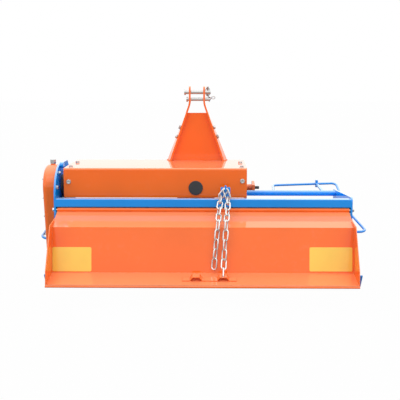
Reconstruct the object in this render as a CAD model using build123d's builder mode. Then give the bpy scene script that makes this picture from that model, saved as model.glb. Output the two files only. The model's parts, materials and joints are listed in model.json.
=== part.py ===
"""Tractor rotavator (rotary tiller) with a chain-driven rotor, a hinged rear tailgate and a three-point mast.

Frame: millimetres, X to the right seen from behind, Y forward, Z up.
Origin: on the ground, under the middle of the rotor's axis.
"""

import os

from build123d import *

os.makedirs("parts", exist_ok=True)

# ---------------------------------------------------------------- driving dimensions
INNER_HALF = 649.0          # half the clear width between the side plates
PLATE = 8.0                 # side plate thickness
OUTER_HALF = INNER_HALF + PLATE
HALF_LENGTH = 514.0         # reach of the guards ahead of the rotor axis, and of the tailgate behind it

ROTOR_Z = 180.0             # rotor axis above the ground
ROTOR_R = 164.0             # radius of the circle of the tine tips
TUBE_R = 38.0               # rotor tube
STUB_R = 20.0               # rotor stub shafts
RUN_GAP = 0.3               # radial gap of a running fit
SIDE_GAP = 6.0              # gap beside what turns or swings between the side plates

DECK_Z = 358.0              # underside of the hood sheet
DECK = 5.0                  # hood sheet thickness
DECK_TOP = DECK_Z + DECK
BEAM = 37.0                 # rear square tube
BEAM_WALL = 4.0
BEAM_REAR = -215.0          # rear face of the rear tube
BEAM_Z = 374.5              # underside of the rear tube
FRONT_TUBE_Y = 215.0
FRONT_TUBE_R = 13.5
FRONT_TUBE_Z = DECK_TOP + FRONT_TUBE_R + RUN_GAP
TUBE_WALL = 3.0

CENTRE_X = -33.0            # gearbox, power input shaft and mast stand on this line
DRIVE_Y = -35.0             # cross shaft
DRIVE_Z = 447.0
DRIVE_TUBE_R = 44.0
CASE_TOP_R = 98.0           # chain case about the cross shaft
CASE_LOW_R = 92.0           # chain case about the rotor axis
CASE_BODY = 46.0            # chain case depth
CASE_COVER = 22.0           # pressed cover depth
CASE_OUT = OUTER_HALF + CASE_BODY + CASE_COVER
ROD_R = 6.0                 # guard rods
HALF_WIDTH = CASE_OUT + 23 + 2 * ROD_R      # centre of the machine to the outside of the guard rods

BOX_REAR = -140.0           # box beam over the gearbox
BOX_FRONT = 246.0
BOX_LOW = 407.0
BOX_TOP = 539.0
BOX_LEFT = -(INNER_HALF - 24)
BOX_RIGHT = CENTRE_X + 229
BOX = 6.0                   # box sheet thickness
BOX_LIP = 42.0              # depth of the box's front lip
BOX_ROUND = 3.0             # inner radius of its folds
PLUG_R = 32.0
PLUG_Z = DRIVE_Z + 4

MAST_Y = 188.0              # rear edge of the mast straps
MAST_DEPTH = 50.0
STRAP = 9.0
MAST_FOOT_HALF = 128.5      # centre of a strap's foot from the centre line, at its rear edge
MAST_SPLAY = 14.0           # how much further out a strap's foot stands at its front edge
EAR_HALF = 34.5             # centre of a strap's ear from the centre line
EAR_TOP = 898.0
EAR_FOOT = EAR_TOP - 82     # height where the straps turn upright
TOP_PIN_Z = EAR_TOP - 28
TOP_PIN_R = 9.5
LOW_PIN_Z = EAR_TOP - 62
LOW_PIN_R = 8.0

LINK_HALF = 273.0           # lower link plates from the centre line
LINK_Y = 305.0
LINK_Z = 392.0
LINK_PIN_R = 11.0
LINK_PLATE = 12.0
LINK_BOSS = 25.0            # boss on the inner side of the plate
LINK_BOSS_R = 17.0
LINK_END = 26.0             # slimmer end of the pin, past the plate
LINK_END_R = 7.5

HINGE_Y = -204.0            # tailgate hinge axis
HINGE_Z = 362.0
HINGE_ROD_R = 6.0
KNUCKLE_R = 10.0
GATE = 4.0                  # tailgate sheet thickness
GATE_HALF = INNER_HALF - SIDE_GAP
KNEE1 = (-350.0, 311.0)     # upper fold of the tailgate, (Y, Z) of its rear face
KNEE2 = (-378.0, 121.0)     # lower fold
HEM_R = 5.0                 # rolled lower edge
LIP = (-HALF_LENGTH + HEM_R, 98.0)

CHAIN_X = 99.0
WIRE_R = 3.0                # chain link wire
LINK_INNER = 42.0           # inner length of a link
LINK_OUT = 24.0             # outer width of a link

SKID_WIDE = 58.0
SKID = 8.0


def save(node, label):
    """Name a finished piece and write it as its own STEP file."""
    node.part.label = label
    export_step(node.part, f"parts/{label}.step")


# ---------------------------------------------------------------- side plates
PLATE_REAR = BEAM_REAR
PLATE_FRONT = 290.0
PLATE_FOOT = 40.0           # lowest edge of the plates, above the skids
FOOT_REAR = -150.0
FOOT_FRONT = 130.0
REAR_CORNER_Z = 300.0       # where the plates' rear edge turns down to the foot
FRONT_CORNER_Z = 190.0
FRONT_TOP = DECK_TOP + 24
RIGHT_REAR_TOP = BEAM_Z + BEAM + 9
LEFT_TOP = DRIVE_Z + 105    # the left plate rises behind the chain case
LEFT_BEND = 140.0           # radius of its rounded rear corner
PLATE_BORE_R = 45.0
PLATE_CORNER = 20.0
BOSS_Y = -90.0
BOSS_R = 13.0
BOSS_LONG = 18.0
BOSS_Z = LEFT_TOP - 4

with BuildPart() as side_plate_right:
    with BuildSketch(Plane.YZ.offset(INNER_HALF)) as outline:
        with BuildLine():
            Polyline(
                (PLATE_REAR, RIGHT_REAR_TOP),
                (PLATE_REAR, REAR_CORNER_Z),
                (FOOT_REAR, PLATE_FOOT),
                (FOOT_FRONT, PLATE_FOOT),
                (PLATE_FRONT, FRONT_CORNER_Z),
                (PLATE_FRONT, FRONT_TOP),
                close=True,
            )
        make_face()
        fillet(outline.vertices(), PLATE_CORNER)
        with Locations((0, ROTOR_Z)):
            Circle(PLATE_BORE_R, mode=Mode.SUBTRACT)
    extrude(amount=PLATE)
save(side_plate_right, "side_plate_right")

with BuildPart() as side_plate_left:
    with BuildSketch(Plane.YZ.offset(-OUTER_HALF)) as outline:
        with BuildLine():
            Polyline(
                (PLATE_REAR, LEFT_TOP),
                (PLATE_REAR, REAR_CORNER_Z),
                (FOOT_REAR, PLATE_FOOT),
                (FOOT_FRONT, PLATE_FOOT),
                (PLATE_FRONT, FRONT_CORNER_Z),
                (PLATE_FRONT, FRONT_TOP),
                (DRIVE_Y + 130, LEFT_TOP),
                close=True,
            )
        make_face()
        top_corner = outline.vertices().sort_by_distance((PLATE_REAR, LEFT_TOP))[0]
        fillet([corner for corner in outline.vertices() if corner != top_corner], PLATE_CORNER)
        fillet(outline.vertices().sort_by_distance((PLATE_REAR, LEFT_TOP))[0], LEFT_BEND)
        with Locations((0, ROTOR_Z)):
            Circle(PLATE_BORE_R, mode=Mode.SUBTRACT)
    extrude(amount=PLATE)
    with BuildSketch(Plane.YZ.offset(-INNER_HALF)):
        with Locations((BOSS_Y, BOSS_Z)):
            Circle(BOSS_R)
    extrude(amount=BOSS_LONG)
save(side_plate_left, "side_plate_left")

# ---------------------------------------------------------------- cross members and deck
with BuildPart() as rear_beam:
    with BuildSketch(Plane.YZ.offset(-INNER_HALF)) as section:
        with Locations((BEAM_REAR + BEAM / 2, BEAM_Z + BEAM / 2)):
            RectangleRounded(BEAM, BEAM, 4)
            RectangleRounded(BEAM - 2 * BEAM_WALL, BEAM - 2 * BEAM_WALL, 1, mode=Mode.SUBTRACT)
    extrude(amount=2 * INNER_HALF)
save(rear_beam, "rear_beam")

with BuildPart() as front_tube:
    with BuildSketch(Plane.YZ.offset(-INNER_HALF)) as section:
        with Locations((FRONT_TUBE_Y, FRONT_TUBE_Z)):
            Circle(FRONT_TUBE_R)
            Circle(FRONT_TUBE_R - TUBE_WALL, mode=Mode.SUBTRACT)
    extrude(amount=2 * INNER_HALF)
save(front_tube, "front_tube")

HOOD_REAR = BEAM_REAR + BEAM
HOOD_FRONT = FRONT_TUBE_Y + 2 * FRONT_TUBE_R
HOOD_LIP = 42.0             # rear lip, up the front of the rear tube
HOOD_DROP = 74.0            # front skirt, down and forward
with BuildPart() as deck:
    with BuildSketch(Plane.YZ.offset(-INNER_HALF)) as section:
        with BuildLine() as path:
            FilletPolyline(
                (HOOD_REAR + DECK / 2, DECK_TOP + HOOD_LIP),
                (HOOD_REAR + DECK / 2, DECK_Z + DECK / 2),
                (HOOD_FRONT, DECK_Z + DECK / 2),
                (HOOD_FRONT + 0.25 * HOOD_DROP, DECK_Z - HOOD_DROP),
                radius=DECK,
            )
        trace(line_width=DECK)
    extrude(amount=2 * INNER_HALF)
save(deck, "rotor_deck")

# ---------------------------------------------------------------- box beam over the gearbox
with BuildPart() as box_beam:
    with BuildSketch(Plane.YZ.offset(BOX_LEFT)) as section:
        with BuildLine():
            Polyline(
                (BOX_REAR, BOX_LOW),
                (BOX_REAR, BOX_TOP),
                (BOX_FRONT, BOX_TOP),
                (BOX_FRONT, BOX_TOP - BOX_LIP),
                (BOX_FRONT - BOX, BOX_TOP - BOX_LIP),
                (BOX_FRONT - BOX, BOX_TOP - BOX),
                (BOX_REAR + BOX, BOX_TOP - BOX),
                (BOX_REAR + BOX, BOX_LOW),
                close=True,
            )
        make_face()
        fillet(section.vertices().group_by(Axis.Y)[-2], BOX_ROUND)
        fillet(section.vertices().group_by(Axis.Y)[-1], BOX + BOX_ROUND)
    extrude(amount=BOX_RIGHT - BOX_LEFT)
    with BuildSketch(Plane.XZ.offset(-BOX_REAR)):
        with Locations((CENTRE_X, PLUG_Z)):
            Circle(PLUG_R - 3)
    extrude(amount=BOX, both=True, mode=Mode.SUBTRACT)
save(box_beam, "box_beam")

# Folded brackets that close the box's ends and stand on the deck: side, X of the plate's outer face
FLANGE = 30.0
for side, face, lean in (("left", BOX_LEFT, 1), ("right", BOX_RIGHT, -1)):
    with BuildPart() as bracket:
        with BuildSketch(Plane.YZ.offset(face)) as outline:
            with BuildLine():
                Polyline(
                    (BOX_REAR + BOX, DECK_TOP),
                    (BOX_REAR + BOX, BOX_TOP - BOX),
                    (BOX_FRONT - BOX, BOX_TOP - BOX),
                    (BOX_FRONT - BOX, BOX_TOP - BOX_LIP),
                    (BOX_REAR + 180, DECK_TOP),
                    close=True,
                )
            make_face()
            fillet(outline.vertices().group_by(Axis.Y)[-1], 4)
        extrude(amount=lean * BOX)
        with BuildSketch(Plane.XY.offset(DECK_TOP)):
            with Locations((face + lean * FLANGE / 2, BOX_REAR + BOX + 90)):
                Rectangle(FLANGE, 150)
        extrude(amount=BOX)
        if side == "left":
            with BuildSketch(Plane.YZ.offset(face)):
                with Locations((DRIVE_Y, DRIVE_Z)):
                    Circle(DRIVE_TUBE_R + RUN_GAP)
            extrude(amount=FLANGE, mode=Mode.SUBTRACT)
    save(bracket, f"box_bracket_{side}")

with BuildPart() as inspection_plug:
    with BuildSketch(Plane.XZ.offset(-BOX_REAR)):
        with Locations((CENTRE_X, PLUG_Z)):
            Circle(PLUG_R)
    extrude(amount=5)
    with BuildSketch(Plane.XZ.offset(-BOX_REAR)):
        with Locations((CENTRE_X, PLUG_Z)):
            Circle(PLUG_R - 3)
    extrude(amount=-BOX)
    fillet(inspection_plug.edges().group_by(Axis.Y)[0], 2)
save(inspection_plug, "inspection_plug")

# ---------------------------------------------------------------- gearbox, cross tube, power input
GEAR_WIDE = 170.0
GEAR_REAR = -118.0
GEAR_FRONT = 96.0
GEAR_LOW = DECK_TOP
NECK_R = 52.0
NECK_LONG = 62.0
SHAFT_R = 17.4
SHAFT_LONG = 84.0
SPLINES = 6

with BuildPart() as gearbox:
    with BuildSketch(Plane.XY.offset(GEAR_LOW)):
        with Locations((CENTRE_X, (GEAR_REAR + GEAR_FRONT) / 2)):
            RectangleRounded(GEAR_WIDE, GEAR_FRONT - GEAR_REAR, 28)
    extrude(amount=BOX_TOP - BOX - GEAR_LOW)
    with BuildSketch(Plane.XZ.offset(-GEAR_FRONT + 1)):
        with Locations((CENTRE_X, DRIVE_Z)):
            Circle(NECK_R)
    extrude(amount=-NECK_LONG - 1, taper=6)
    with BuildSketch(Plane.XZ.offset(-GEAR_FRONT - NECK_LONG)):
        with Locations((CENTRE_X, DRIVE_Z)):
            Circle(SHAFT_R + RUN_GAP)
    extrude(amount=NECK_LONG, mode=Mode.SUBTRACT)
save(gearbox, "gearbox")

with BuildPart() as drive_tube:
    with BuildSketch(Plane.YZ.offset(CENTRE_X - GEAR_WIDE / 2)):
        with Locations((DRIVE_Y, DRIVE_Z)):
            Circle(DRIVE_TUBE_R)
    extrude(amount=-(CENTRE_X - GEAR_WIDE / 2 + INNER_HALF))
    with BuildSketch(Plane.YZ.offset(-INNER_HALF)):
        with Locations((DRIVE_Y, DRIVE_Z)):
            Circle(DRIVE_TUBE_R + 10)
    extrude(amount=12)
save(drive_tube, "drive_tube")

with BuildPart() as pto_shaft:
    with BuildSketch(Plane.XZ.offset(-GEAR_FRONT - 8)):
        with Locations((CENTRE_X, DRIVE_Z)):
            Circle(SHAFT_R)
    extrude(amount=-(NECK_LONG + SHAFT_LONG))
    with BuildSketch(Plane.XZ.offset(-GEAR_FRONT - NECK_LONG - 8 - SHAFT_LONG)):
        with Locations((CENTRE_X, DRIVE_Z)):
            with PolarLocations(SHAFT_R, SPLINES):
                Rectangle(5.0, 8.6)
    extrude(amount=76, mode=Mode.SUBTRACT)
save(pto_shaft, "pto_shaft")

PTO_GUARD_R = 46.0
PTO_GUARD_LONG = 106.0
PTO_GUARD = 3.0
with BuildPart() as pto_guard:
    with BuildSketch(Plane.XZ.offset(-GEAR_FRONT - NECK_LONG)):
        with Locations((CENTRE_X, DRIVE_Z)):
            Circle(PTO_GUARD_R)
            Circle(SHAFT_R + 8, mode=Mode.SUBTRACT)
    extrude(amount=-PTO_GUARD)
    with BuildSketch(Plane.XZ.offset(-GEAR_FRONT - NECK_LONG)):
        with Locations((CENTRE_X, DRIVE_Z)):
            Circle(PTO_GUARD_R)
            Circle(PTO_GUARD_R - PTO_GUARD, mode=Mode.SUBTRACT)
    extrude(amount=-PTO_GUARD_LONG)
save(pto_guard, "pto_guard")

# ---------------------------------------------------------------- chain case on the left
CASE_FACE = -OUTER_HALF - CASE_BODY


CASE_ROUND = 20.0           # rounded outer edge of the cover
with BuildSketch() as case_outline:
    with Locations((DRIVE_Y, DRIVE_Z)):
        Circle(CASE_TOP_R)
    with Locations((0, ROTOR_Z)):
        Circle(CASE_LOW_R)
    make_hull()

with BuildPart() as chain_case:
    with BuildSketch(Plane.YZ.offset(CASE_FACE)):
        add(case_outline.sketch)
    extrude(amount=CASE_BODY)
    with BuildSketch(Plane.YZ.offset(-OUTER_HALF)):
        with Locations((0, ROTOR_Z)):
            Circle(STUB_R + RUN_GAP)
    extrude(amount=-26, mode=Mode.SUBTRACT)
save(chain_case, "chain_case")

with BuildPart() as chain_cover:
    with BuildSketch(Plane.YZ.offset(CASE_FACE)):
        add(case_outline.sketch)
    extrude(amount=-CASE_COVER)
    fillet(chain_cover.edges().group_by(Axis.X)[0], CASE_ROUND)
save(chain_cover, "chain_cover")

FILLER_X = CASE_FACE + 12
NECK_Z = DRIVE_Z + CASE_TOP_R - 10
with BuildPart() as filler_plug:
    with BuildSketch(Plane.XY.offset(NECK_Z + 14)):
        with Locations((FILLER_X, DRIVE_Y)):
            RegularPolygon(13, 6)
    extrude(amount=18)
save(filler_plug, "filler_plug")

with BuildPart() as filler_neck:
    with BuildSketch(Plane.XY.offset(NECK_Z + 14)):
        with Locations((FILLER_X, DRIVE_Y)):
            Circle(11)
    extrude(amount=-24)
    with BuildSketch(Plane.YZ.offset(FILLER_X - 20)):
        with Locations((DRIVE_Y, DRIVE_Z)):
            Circle(CASE_TOP_R)
    extrude(amount=40, mode=Mode.SUBTRACT)
save(filler_neck, "filler_neck")

# ---------------------------------------------------------------- mast
MAST_MID = MAST_Y + MAST_DEPTH / 2
EAR_BEND = 100.0            # bend of the straps where they turn upright
EAR_ROUND = 20.0
for side, lean in (("left", -1), ("right", 1)):
    foot = CENTRE_X + lean * MAST_FOOT_HALF
    ear = CENTRE_X + lean * EAR_HALF
    half = STRAP / 2
    with BuildPart() as strap:
        for height, rear, front in ((BOX_TOP, foot, foot + lean * MAST_SPLAY), (EAR_FOOT, ear, ear)):
            with BuildSketch(Plane.XY.offset(height)):
                with BuildLine():
                    Polyline(
                        (rear - half, MAST_Y),
                        (rear + half, MAST_Y),
                        (front + half, MAST_Y + MAST_DEPTH),
                        (front - half, MAST_Y + MAST_DEPTH),
                        close=True,
                    )
                make_face()
        loft(ruled=True)
        with BuildSketch(Plane.XY.offset(EAR_FOOT)):
            with Locations((ear, MAST_MID)):
                Rectangle(STRAP, MAST_DEPTH)
        extrude(amount=EAR_TOP - EAR_FOOT)
        fold = [edge for edge in strap.edges().filter_by(Axis.Y) if abs(edge.center().Z - EAR_FOOT) < 1]
        fillet(fold, EAR_BEND)
        top = strap.edges().filter_by(Axis.X).group_by(Axis.Z)[-1]
        fillet(top, EAR_ROUND)
        with BuildSketch(Plane.YZ.offset(ear - STRAP)):
            with Locations((MAST_MID, TOP_PIN_Z)):
                Circle(TOP_PIN_R + RUN_GAP)
            with Locations((MAST_MID, LOW_PIN_Z)):
                Circle(LOW_PIN_R + RUN_GAP)
        extrude(amount=2 * STRAP, mode=Mode.SUBTRACT)
    save(strap, f"mast_strap_{side}")

SHEET = 6.0
SHEET_TOP = 771.0
SHEET_FOOT_HALF = MAST_FOOT_HALF + MAST_SPLAY * (MAST_DEPTH - SHEET) / 2 / MAST_DEPTH - STRAP / 2 - RUN_GAP
SHEET_TOP_HALF = (
    SHEET_FOOT_HALF + (EAR_HALF - STRAP / 2 - RUN_GAP - SHEET_FOOT_HALF) * (SHEET_TOP - BOX_TOP) / (EAR_FOOT - BOX_TOP)
)
with BuildPart() as mast_sheet:
    with BuildSketch(Plane.XZ.offset(-MAST_MID + SHEET / 2)):
        with BuildLine():
            Polyline(
                (CENTRE_X - SHEET_FOOT_HALF, BOX_TOP),
                (CENTRE_X - SHEET_TOP_HALF, SHEET_TOP),
                (CENTRE_X + SHEET_TOP_HALF, SHEET_TOP),
                (CENTRE_X + SHEET_FOOT_HALF, BOX_TOP),
                close=True,
            )
        make_face()
    extrude(amount=-SHEET)
save(mast_sheet, "mast_sheet")

# Mast pins: name, height, radius, reach to the left of the centre line, reach to the right
for label, height, radius, left, right in (
    ("top_link_pin", TOP_PIN_Z, TOP_PIN_R, 62, 66),
    ("mast_lower_pin", LOW_PIN_Z, LOW_PIN_R, 52, 62),
):
    with BuildPart() as pin:
        with BuildSketch(Plane.YZ.offset(CENTRE_X - left)):
            with Locations((MAST_MID, height)):
                Circle(radius)
        extrude(amount=left + right)
        with BuildSketch(Plane.YZ.offset(CENTRE_X - left)):
            with Locations((MAST_MID, height)):
                Circle(radius + 4)
        extrude(amount=8)
    save(pin, label)

# ---------------------------------------------------------------- lower link brackets and pins
for side, lean in (("left", -1), ("right", 1)):
    face = CENTRE_X + lean * LINK_HALF
    with BuildPart() as hitch:
        with BuildSketch(Plane.YZ.offset(face)) as outline:
            with BuildLine():
                Polyline(
                    (FRONT_TUBE_Y + 2, DECK_TOP),
                    (FRONT_TUBE_Y + 2, LINK_Z + 24),
                    (LINK_Y - 20, LINK_Z + 36),
                    (LINK_Y + 30, LINK_Z + 30),
                    (LINK_Y + 30, LINK_Z - 26),
                    (LINK_Y - 10, DECK_TOP),
                    close=True,
                )
            make_face()
            fillet(outline.vertices().group_by(Axis.X)[-1], 24)
        extrude(amount=lean * LINK_PLATE)
        with BuildSketch(Plane.YZ.offset(face)):
            with Locations((LINK_Y, LINK_Z)):
                Circle(LINK_BOSS_R)
        extrude(amount=-lean * LINK_BOSS)
        with BuildSketch(Plane.YZ.offset(face - lean * LINK_BOSS)):
            with Locations((LINK_Y, LINK_Z)):
                Circle(LINK_PIN_R + RUN_GAP)
            with Locations((FRONT_TUBE_Y, FRONT_TUBE_Z)):
                Circle(FRONT_TUBE_R + RUN_GAP)
        extrude(amount=lean * (LINK_BOSS + LINK_PLATE), mode=Mode.SUBTRACT)
    save(hitch, f"lower_hitch_{side}")
    with BuildPart() as pin:
        with BuildSketch(Plane.YZ.offset(face - lean * (LINK_BOSS + 8))):
            with Locations((LINK_Y, LINK_Z)):
                Circle(LINK_PIN_R)
        extrude(amount=lean * (LINK_BOSS + LINK_PLATE + 12))
        with BuildSketch(Plane.YZ.offset(face)):
            with Locations((LINK_Y, LINK_Z)):
                Circle(LINK_END_R)
        extrude(amount=lean * (LINK_PLATE + LINK_END))
        chamfer(pin.edges().filter_by(GeomType.CIRCLE), 1.5)
    save(pin, f"lower_link_pin_{side}")

# ---------------------------------------------------------------- guard rods
CORNER_X = HALF_WIDTH - 64  # outer front corner of the guards
CORNER_Z = 388.0
LEG_Z = 376.0               # inner front corner
LEG_SPREAD = 18.0           # how much further out a leg's front end is
SIDE_X = HALF_WIDTH - 48    # bend in the side run
ARM_X = 594.0               # flat arm that carries the front rod
ARM_WIDE = 12.0
ARM = 8.0
ARM_TOP = 405.0
ARM_FOOT = 368.0

# side, sign of X, where the inner leg starts, height and X of the rear end
for side, lean, leg, low, end in (
    ("left", -1, 392.0, 205.0, CASE_OUT),
    ("right", 1, 346.0, 237.0, OUTER_HALF),
):
    out = lean * (HALF_WIDTH - ROD_R)
    front = HALF_LENGTH - ROD_R
    leg_front = leg + LEG_SPREAD
    with BuildPart() as guard:
        with BuildLine() as path:
            FilletPolyline(
                (lean * leg, FRONT_TUBE_Y + FRONT_TUBE_R + 2 * RUN_GAP, FRONT_TUBE_Z),
                (lean * leg_front, front, LEG_Z),
                (lean * CORNER_X, front, CORNER_Z),
                (lean * SIDE_X, 250, 290),
                (out, -50, low),
                (lean * (end + 3 * RUN_GAP), -56, low - 3),
                radius=28,
            )
        with BuildSketch(Plane(origin=path.line @ 0, z_dir=path.line % 0)):
            Circle(ROD_R)
        sweep()
    save(guard, f"guard_rod_{side}")
    rod_z = LEG_Z + (CORNER_Z - LEG_Z) * (ARM_X - leg_front) / (CORNER_X - leg_front)
    with BuildPart() as arm:
        with BuildSketch(Plane.YZ.offset(lean * ARM_X - ARM_WIDE / 2)) as outline:
            with BuildLine():
                Polyline(
                    (FRONT_TUBE_Y + FRONT_TUBE_R + RUN_GAP, FRONT_TUBE_Z + ARM / 2),
                    (front - ROD_R - ARM, rod_z + ARM / 2),
                    (front - ROD_R - ARM, ARM_TOP),
                    (front + ROD_R, ARM_TOP),
                    (front + ROD_R, ARM_FOOT),
                    (front - ROD_R - ARM, ARM_FOOT),
                    (front - ROD_R - ARM, rod_z - ARM / 2),
                    (FRONT_TUBE_Y + FRONT_TUBE_R + RUN_GAP, FRONT_TUBE_Z - ARM / 2),
                    close=True,
                )
            make_face()
            with Locations((front, rod_z)):
                Circle(ROD_R + 2 * RUN_GAP, mode=Mode.SUBTRACT)
        extrude(amount=ARM_WIDE)
    save(arm, f"guard_arm_{side}")

# ---------------------------------------------------------------- skids
for side, lean in (("left", -1), ("right", 1)):
    with BuildPart() as skid:
        with BuildSketch(Plane.YZ.offset(lean * OUTER_HALF)) as runner:
            with BuildLine():
                FilletPolyline(
                    (-196, 62), (-150, 0), (120, 0), (232, 108),
                    (226, 114), (117, SKID), (-147, SKID), (-190, 66),
                    close=True, radius=2.5,
                )
            make_face()
        extrude(amount=lean * SKID_WIDE)
        with BuildSketch(Plane.YZ.offset(lean * OUTER_HALF)) as web:
            with BuildLine():
                Polyline((-140, SKID - 1), (-120, 78), (110, 78), (160, SKID + 40), (118, SKID - 1), close=True)
            make_face()
        extrude(amount=lean * 6)
    save(skid, f"skid_{side}")

# ---------------------------------------------------------------- rotor
FLANGES = 6
FLANGE_T = 8.0
FLANGE_R = 92.0
FLANGE_HALF = 560.0
FLANGE_STEP = 2 * FLANGE_HALF / (FLANGES - 1)
SETS = 3                    # tines on each side of a flange
STAGGER = 24.0              # degrees that each flange turns on from the last
TINE = 8.0
TINE_REACH = 84.0
TINE_WIDE = 58.0
BEND_R = 24.0
ROTOR_HALF = INNER_HALF - SIDE_GAP

with BuildPart() as rotor_tube:
    with BuildSketch(Plane.YZ.offset(-ROTOR_HALF)):
        with Locations((0, ROTOR_Z)):
            Circle(TUBE_R)
    extrude(amount=2 * ROTOR_HALF)
    with BuildSketch(Plane.YZ.offset(-OUTER_HALF - 20)):
        with Locations((0, ROTOR_Z)):
            Circle(STUB_R)
    extrude(amount=2 * (OUTER_HALF + 20))
    for index in range(FLANGES):
        with BuildSketch(Plane.YZ.offset(-FLANGE_HALF + index * FLANGE_STEP - FLANGE_T / 2)):
            with Locations((0, ROTOR_Z)):
                Circle(FLANGE_R)
        extrude(amount=FLANGE_T)
save(rotor_tube, "rotor_tube")


def make_tine(lean):
    """One L-shaped tine on the X axis with its leg along +Z, bent towards X * lean."""
    with BuildPart(mode=Mode.PRIVATE) as tine:
        with BuildSketch(Plane.XZ) as bent:
            with BuildLine():
                Polyline(
                    (0, 56),
                    (lean * TINE, 56),
                    (lean * TINE, ROTOR_R - TINE),
                    (lean * TINE_REACH, ROTOR_R - TINE),
                    (lean * TINE_REACH, ROTOR_R),
                    (0, ROTOR_R),
                    close=True,
                )
            make_face()
            fillet(bent.vertices().sort_by_distance((lean * TINE, ROTOR_R - TINE))[0], BEND_R)
            fillet(bent.vertices().sort_by_distance((0, ROTOR_R))[0], BEND_R + TINE)
        extrude(amount=2 * TINE_WIDE, both=True)
        with BuildSketch(Plane.YZ.offset(-TINE_REACH)):
            with BuildLine():
                Line((-24, 50), (-24, 84))
                ThreePointArc((-24, 84), (-14, 130), (22, 172))
                Line((22, 172), (70, 172))
                ThreePointArc((70, 172), (40, 128), (26, 84))
                Line((26, 84), (26, 50))
                Line((26, 50), (-24, 50))
            make_face()
        extrude(amount=2 * TINE_REACH, mode=Mode.INTERSECT)
        with BuildSketch(Plane.YZ.offset(-TINE_REACH)):
            Circle(ROTOR_R)
        extrude(amount=2 * TINE_REACH, mode=Mode.INTERSECT)
    return tine.part


for side, lean in (("left", -1), ("right", 1)):
    tine = make_tine(lean)
    with BuildPart() as tines:
        for index in range(FLANGES):
            if lean * (index - (FLANGES - 1) / 2) < (FLANGES - 1) / 2:
                face = -FLANGE_HALF + index * FLANGE_STEP + lean * FLANGE_T / 2
                for turn in range(SETS):
                    angle = index * STAGGER + turn * 360 / SETS + (0 if lean < 0 else 180 / SETS)
                    add(Pos(face, 0, ROTOR_Z) * Rot(angle, 0, 0) * tine)
    save(tines, f"tines_{side}")

with BuildPart() as bearing_housing:
    with BuildSketch(Plane.YZ.offset(OUTER_HALF)):
        with Locations((0, ROTOR_Z)):
            Circle(62)
    extrude(amount=10)
    with BuildSketch(Plane.YZ.offset(OUTER_HALF)):
        with Locations((0, ROTOR_Z)):
            Circle(44)
    extrude(amount=38)
    fillet(bearing_housing.edges().group_by(Axis.X)[-1], 8)
    with BuildSketch(Plane.YZ.offset(OUTER_HALF)):
        with Locations((0, ROTOR_Z)):
            Circle(STUB_R + RUN_GAP)
    extrude(amount=26, mode=Mode.SUBTRACT)
save(bearing_housing, "bearing_housing")

# ---------------------------------------------------------------- tailgate
with BuildPart() as hinge_rod:
    with BuildSketch(Plane.YZ.offset(-INNER_HALF)):
        with Locations((HINGE_Y, HINGE_Z)):
            Circle(HINGE_ROD_R)
    extrude(amount=2 * INNER_HALF)
save(hinge_rod, "hinge_rod")

GATE_TOP = (HINGE_Y - 2, HINGE_Z - KNUCKLE_R)
# Outer edge of the gate's cheeks, (Y, Z) from the upper fold down to the hem
CHEEK_EDGE = (
    (KNEE1[0] + 60, KNEE1[1] + 25),
    (KNEE1[0] - 42, KNEE1[1] + 13),
    (LIP[0] + 9, LIP[1] + 60),
)
with BuildPart() as tailgate:
    with BuildSketch(Plane.YZ.offset(-GATE_HALF)) as section:
        with BuildLine():
            Polyline(
                GATE_TOP,
                (KNEE1[0] + GATE, KNEE1[1] - GATE),
                (KNEE2[0] + GATE, KNEE2[1] - GATE),
                (LIP[0], LIP[1] - GATE),
                LIP,
                KNEE2,
                KNEE1,
                (GATE_TOP[0], GATE_TOP[1] + GATE),
                close=True,
            )
        make_face()
        with Locations((HINGE_Y, HINGE_Z)):
            Circle(KNUCKLE_R)
        with Locations((LIP[0], LIP[1] - HEM_R + 1)):
            Circle(HEM_R)
        with Locations((HINGE_Y, HINGE_Z)):
            Circle(HINGE_ROD_R + RUN_GAP, mode=Mode.SUBTRACT)
    extrude(amount=2 * GATE_HALF)
    for face in (-GATE_HALF, GATE_HALF - GATE):
        with BuildSketch(Plane.YZ.offset(face)) as cheek:
            with BuildLine():
                Polyline(*CHEEK_EDGE, LIP, KNEE2, KNEE1, close=True)
            make_face()
        extrude(amount=GATE)
save(tailgate, "tailgate")

# Hat-shaped strip on the lower facet: two hollow humps, the right one slotted for the chain
FACET = Vector(0, LIP[0] - KNEE2[0], LIP[1] - KNEE2[1]).normalized()
STRIP = 3.0
STRIP_WIDE = 40.0
STRIP_DOWN = 48.0           # from the lower fold to the strip's upper edge
STRIP_LEFT = -82.0
STRIP_RIGHT = 143.0
HUMPS = (-26.0, 87.0)
HUMP_FOOT = 24.0
HUMP_TOP = 13.0
HUMP_HIGH = 18.0
HUMP_X = HUMPS[1]
KEEPER_R = 3.0              # rod in the right hump that holds the chain's last link
KEEPER_HIGH = HUMP_HIGH - STRIP - KEEPER_R - RUN_GAP
KEEPER_DOWN = 18.0
KEEPER_HALF = 18.0
strip_plane = Plane(origin=Vector(0, *KNEE2) + FACET * STRIP_DOWN, x_dir=(1, 0, 0), z_dir=FACET)

FACET_UP = Vector(0, FACET.Z, -FACET.Y)
KEEPER = strip_plane.origin + FACET * KEEPER_DOWN + FACET_UP * KEEPER_HIGH

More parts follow.
